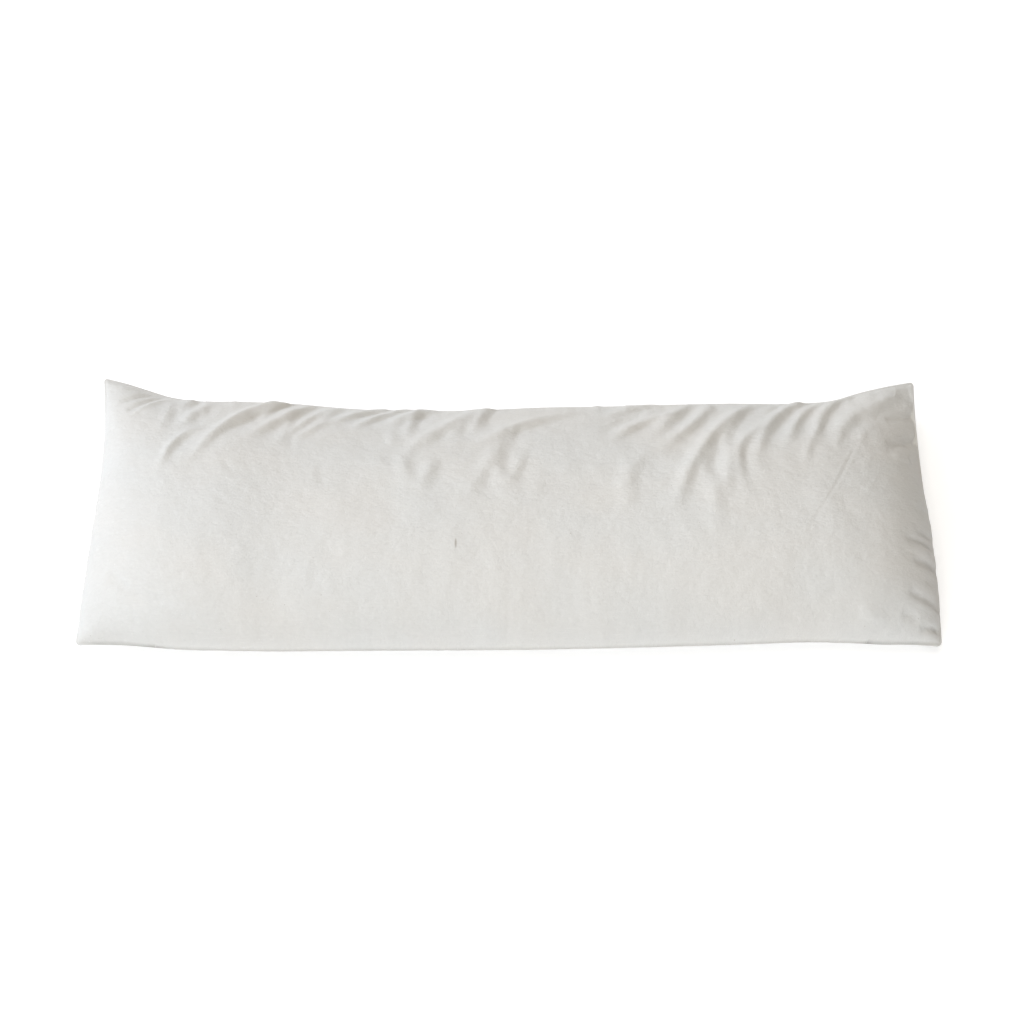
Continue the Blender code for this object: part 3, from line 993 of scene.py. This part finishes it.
class PILLOW_OT_cover(Operator):
    """Make the filled cotton pillow"""

    bl_idname = "pillow.cover"
    bl_label = "Pillow"

    def execute(self, context):
        settings = context.scene.pillow
        data = two_panels("pillow_cover", *finished_panels(settings), joined=True)
        lay_out_cut(data)
        data.materials.append(cotton_finish(settings))
        cover = linked("pillow_cover", data)
        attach(cover, "root")
        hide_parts("pillow")
        return {"FINISHED"}


def area_light(name, place, size, tint, power):
    """A soft rectangular light at a place, turned towards the pillow."""
    lamp = bpy.data.lights.new(name, "AREA")
    lamp.shape = "RECTANGLE"
    lamp.size, lamp.size_y = size
    lamp.energy = power
    lamp.color = tint
    made = linked(name, lamp)
    made.location = place
    made.rotation_euler = (Vector(LIT_POINT) - Vector(place)).to_track_quat("-Z", "Y").to_euler()


def aimed_camera():
    """The camera, at its distance from the point that it is aimed at."""
    lens = bpy.data.cameras.new("camera")
    lens.lens = CAMERA["lens"]
    lens.sensor_width = SENSOR_WIDTH
    camera = linked("camera", lens)
    tilt = radians(90.0 - CAMERA["elevation"])
    camera.rotation_euler = (tilt, 0.0, 0.0)
    back = Vector((0.0, -np.sin(tilt), np.cos(tilt)))
    camera.location = Vector(CAMERA["aim"]) + back * CAMERA["distance"]
    return camera


def surroundings(settings):
    """A world that is bright on the left and dimmer and warmer on the right."""
    world = bpy.data.worlds.new("surroundings")
    world.use_nodes = True
    start = Wire(world.node_tree)
    towards = start.node("ShaderNodeTexCoord", output="Generated")
    sideways = start.node("ShaderNodeSeparateXYZ", inputs={"Vector": towards}, output="X")
    share = start.node("ShaderNodeMapRange", inputs={"Value": sideways, "From Min": -1.0})
    colour = share.mix(tuple(settings.left_side), tuple(settings.right_side))
    background = world.node_tree.nodes["Background"]
    world.node_tree.links.new(colour.socket, background.inputs["Color"])
    return world


class PILLOW_OT_studio(Operator):
    """Set up the floor, the lights and the camera"""

    bl_idname = "pillow.studio"
    bl_label = "Studio"

    def execute(self, context):
        settings = context.scene.pillow_studio
        mesh = bmesh.new()
        bmesh.ops.create_grid(mesh, x_segments=4, y_segments=4, size=FLOOR_SIZE / 2)
        data = bpy.data.meshes.new("floor")
        mesh.to_mesh(data)
        mesh.free()
        data.materials.append(floor_finish(settings))
        linked("floor", data)
        context.scene.world = surroundings(settings)
        for name, (place, size, tint) in LIGHTS.items():
            area_light(name, place, size, tint, getattr(settings, f"{name}_power"))
        context.scene.camera = aimed_camera()
        context.scene.view_settings.view_transform = "Standard"
        return {"FINISHED"}


class PILLOW_PT_panel(Panel):
    """Lists the steps that make the pillow, with their settings"""

    bl_label = "Pillow"
    bl_idname = "PILLOW_PT_panel"
    bl_space_type = "VIEW_3D"
    bl_region_type = "UI"
    bl_category = "Pillow"

    def draw(self, context):
        for operator, group in ((PILLOW_OT_cover, "pillow"), (PILLOW_OT_studio, "pillow_studio")):
            box = self.layout.box()
            settings = getattr(context.scene, group)
            for name in settings.bl_rna.properties.keys():
                if name in type(settings).__annotations__:
                    box.prop(settings, name)
            box.operator(operator.bl_idname)


CLASSES = (PillowSettings, StudioSettings, PILLOW_OT_cover, PILLOW_OT_studio, PILLOW_PT_panel)


def register():
    for cls in CLASSES:
        bpy.utils.register_class(cls)
    bpy.types.Scene.pillow = PointerProperty(type=PillowSettings)
    bpy.types.Scene.pillow_studio = PointerProperty(type=StudioSettings)


def unregister():
    del bpy.types.Scene.pillow_studio
    del bpy.types.Scene.pillow
    for cls in reversed(CLASSES):
        bpy.utils.unregister_class(cls)


def main():
    """Makes the pillow and its studio."""
    register()
    bpy.ops.pillow.cover()
    bpy.ops.pillow.studio()


if __name__ == "__main__":
    main()
